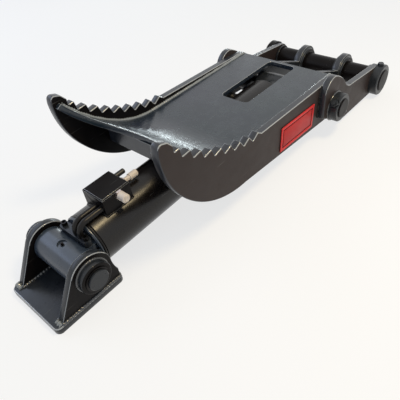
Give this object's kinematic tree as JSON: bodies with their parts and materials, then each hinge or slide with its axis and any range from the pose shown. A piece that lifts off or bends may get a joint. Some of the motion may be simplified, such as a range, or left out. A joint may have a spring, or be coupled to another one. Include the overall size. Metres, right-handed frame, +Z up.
{
  "type": "excavator thumb",
  "caption": "Hydraulic thumb for an excavator: weld-on bracket, cylinder with valve block, and a wide two-plate serrated thumb on a long main pin.",
  "frame": {"origin": "centre of the bracket base plate's underside, which stands on the ground", "axes": "+X along the cylinder from the bracket toward the main pin, +Z up, Y across the thumb"},
  "size_m": [1.485, 0.508, 0.3905],
  "materials": {
    "dark_paint": "glossy black-grey coat",
    "bare_steel": "satin",
    "bush_bronze": "machined bronze",
    "gland_iron": "machined, dark",
    "rod_chrome": "polished",
    "seal_rubber": "matte",
    "pale_plastic": "satin",
    "black_plastic": "satin",
    "plate_enamel": "satin enamel"
  },
  "bodies": {
    "bracket": {"bracket_base_plate": "dark_paint", "bracket_ear_near": "dark_paint", "bracket_ear_far": "dark_paint", "bracket_boss_near": "dark_paint", "bracket_boss_far": "dark_paint", "bracket_pin": "dark_paint", "bracket_pin_clip": "bare_steel", "bracket_pin_nipple": "bare_steel"},
    "barrel": {"cylinder_base_cap": "dark_paint", "base_eye_bush": "bush_bronze", "base_eye_nipple": "bare_steel", "cylinder_barrel": "dark_paint", "cylinder_gland": "gland_iron", "rod_wiper": "seal_rubber", "rod_seal": "seal_rubber", "valve_block": "dark_paint", "pipe_flange_bar": "dark_paint", "flange_screw_near": "bare_steel", "flange_screw_far": "bare_steel", "oil_pipe_near": "dark_paint", "oil_pipe_far": "dark_paint", "port_adapter": "bare_steel", "port_cap": "pale_plastic", "end_adapter": "bare_steel", "end_cap": "pale_plastic", "end_plug": "black_plastic", "rod_port_boss": "dark_paint", "rod_port_plug": "black_plastic"},
    "rod": {"piston_rod": "rod_chrome", "piston": "gland_iron", "piston_ring_1": "seal_rubber", "piston_ring_2": "seal_rubber", "piston_nut": "bare_steel", "rod_eye": "dark_paint", "rod_eye_bush": "bush_bronze"},
    "thumb": {"side_plate_near": "dark_paint", "side_plate_far": "dark_paint", "ear_plate_near": "dark_paint", "ear_plate_far": "dark_paint", "inner_lug_near": "dark_paint", "inner_lug_far": "dark_paint", "lug_boss_near_inner": "dark_paint", "lug_boss_near_outer": "dark_paint", "lug_boss_far_inner": "dark_paint", "lug_boss_far_outer": "dark_paint", "ear_boss_near": "dark_paint", "ear_boss_far": "dark_paint", "web_plate": "dark_paint", "front_plate": "dark_paint", "rod_pin": "dark_paint", "rod_pin_collar": "dark_paint", "rod_pin_bolt": "dark_paint", "rod_pin_nut": "dark_paint", "main_pin": "dark_paint", "main_pin_collar": "dark_paint", "main_pin_bolt": "dark_paint", "name_plate": "plate_enamel"}
  },
  "joints": [
    {"name": "cylinder_swing", "type": "hinge", "parent": "bracket", "child": "barrel", "pos_m": [0.029, 0, 0.094], "axis": [0, -1, 0], "range_deg": [0, 90]},
    {"name": "rod_slide", "type": "slide", "parent": "barrel", "child": "rod", "axis": [0.9998, 0, 0.0211], "range_m": [-0.01, 0.54]},
    {"name": "thumb_pivot", "type": "hinge", "parent": "rod", "child": "thumb", "pos_m": [0.97879, 0, 0.114], "axis": [0, 1, 0], "range_deg": [0, 120]}
  ]
}
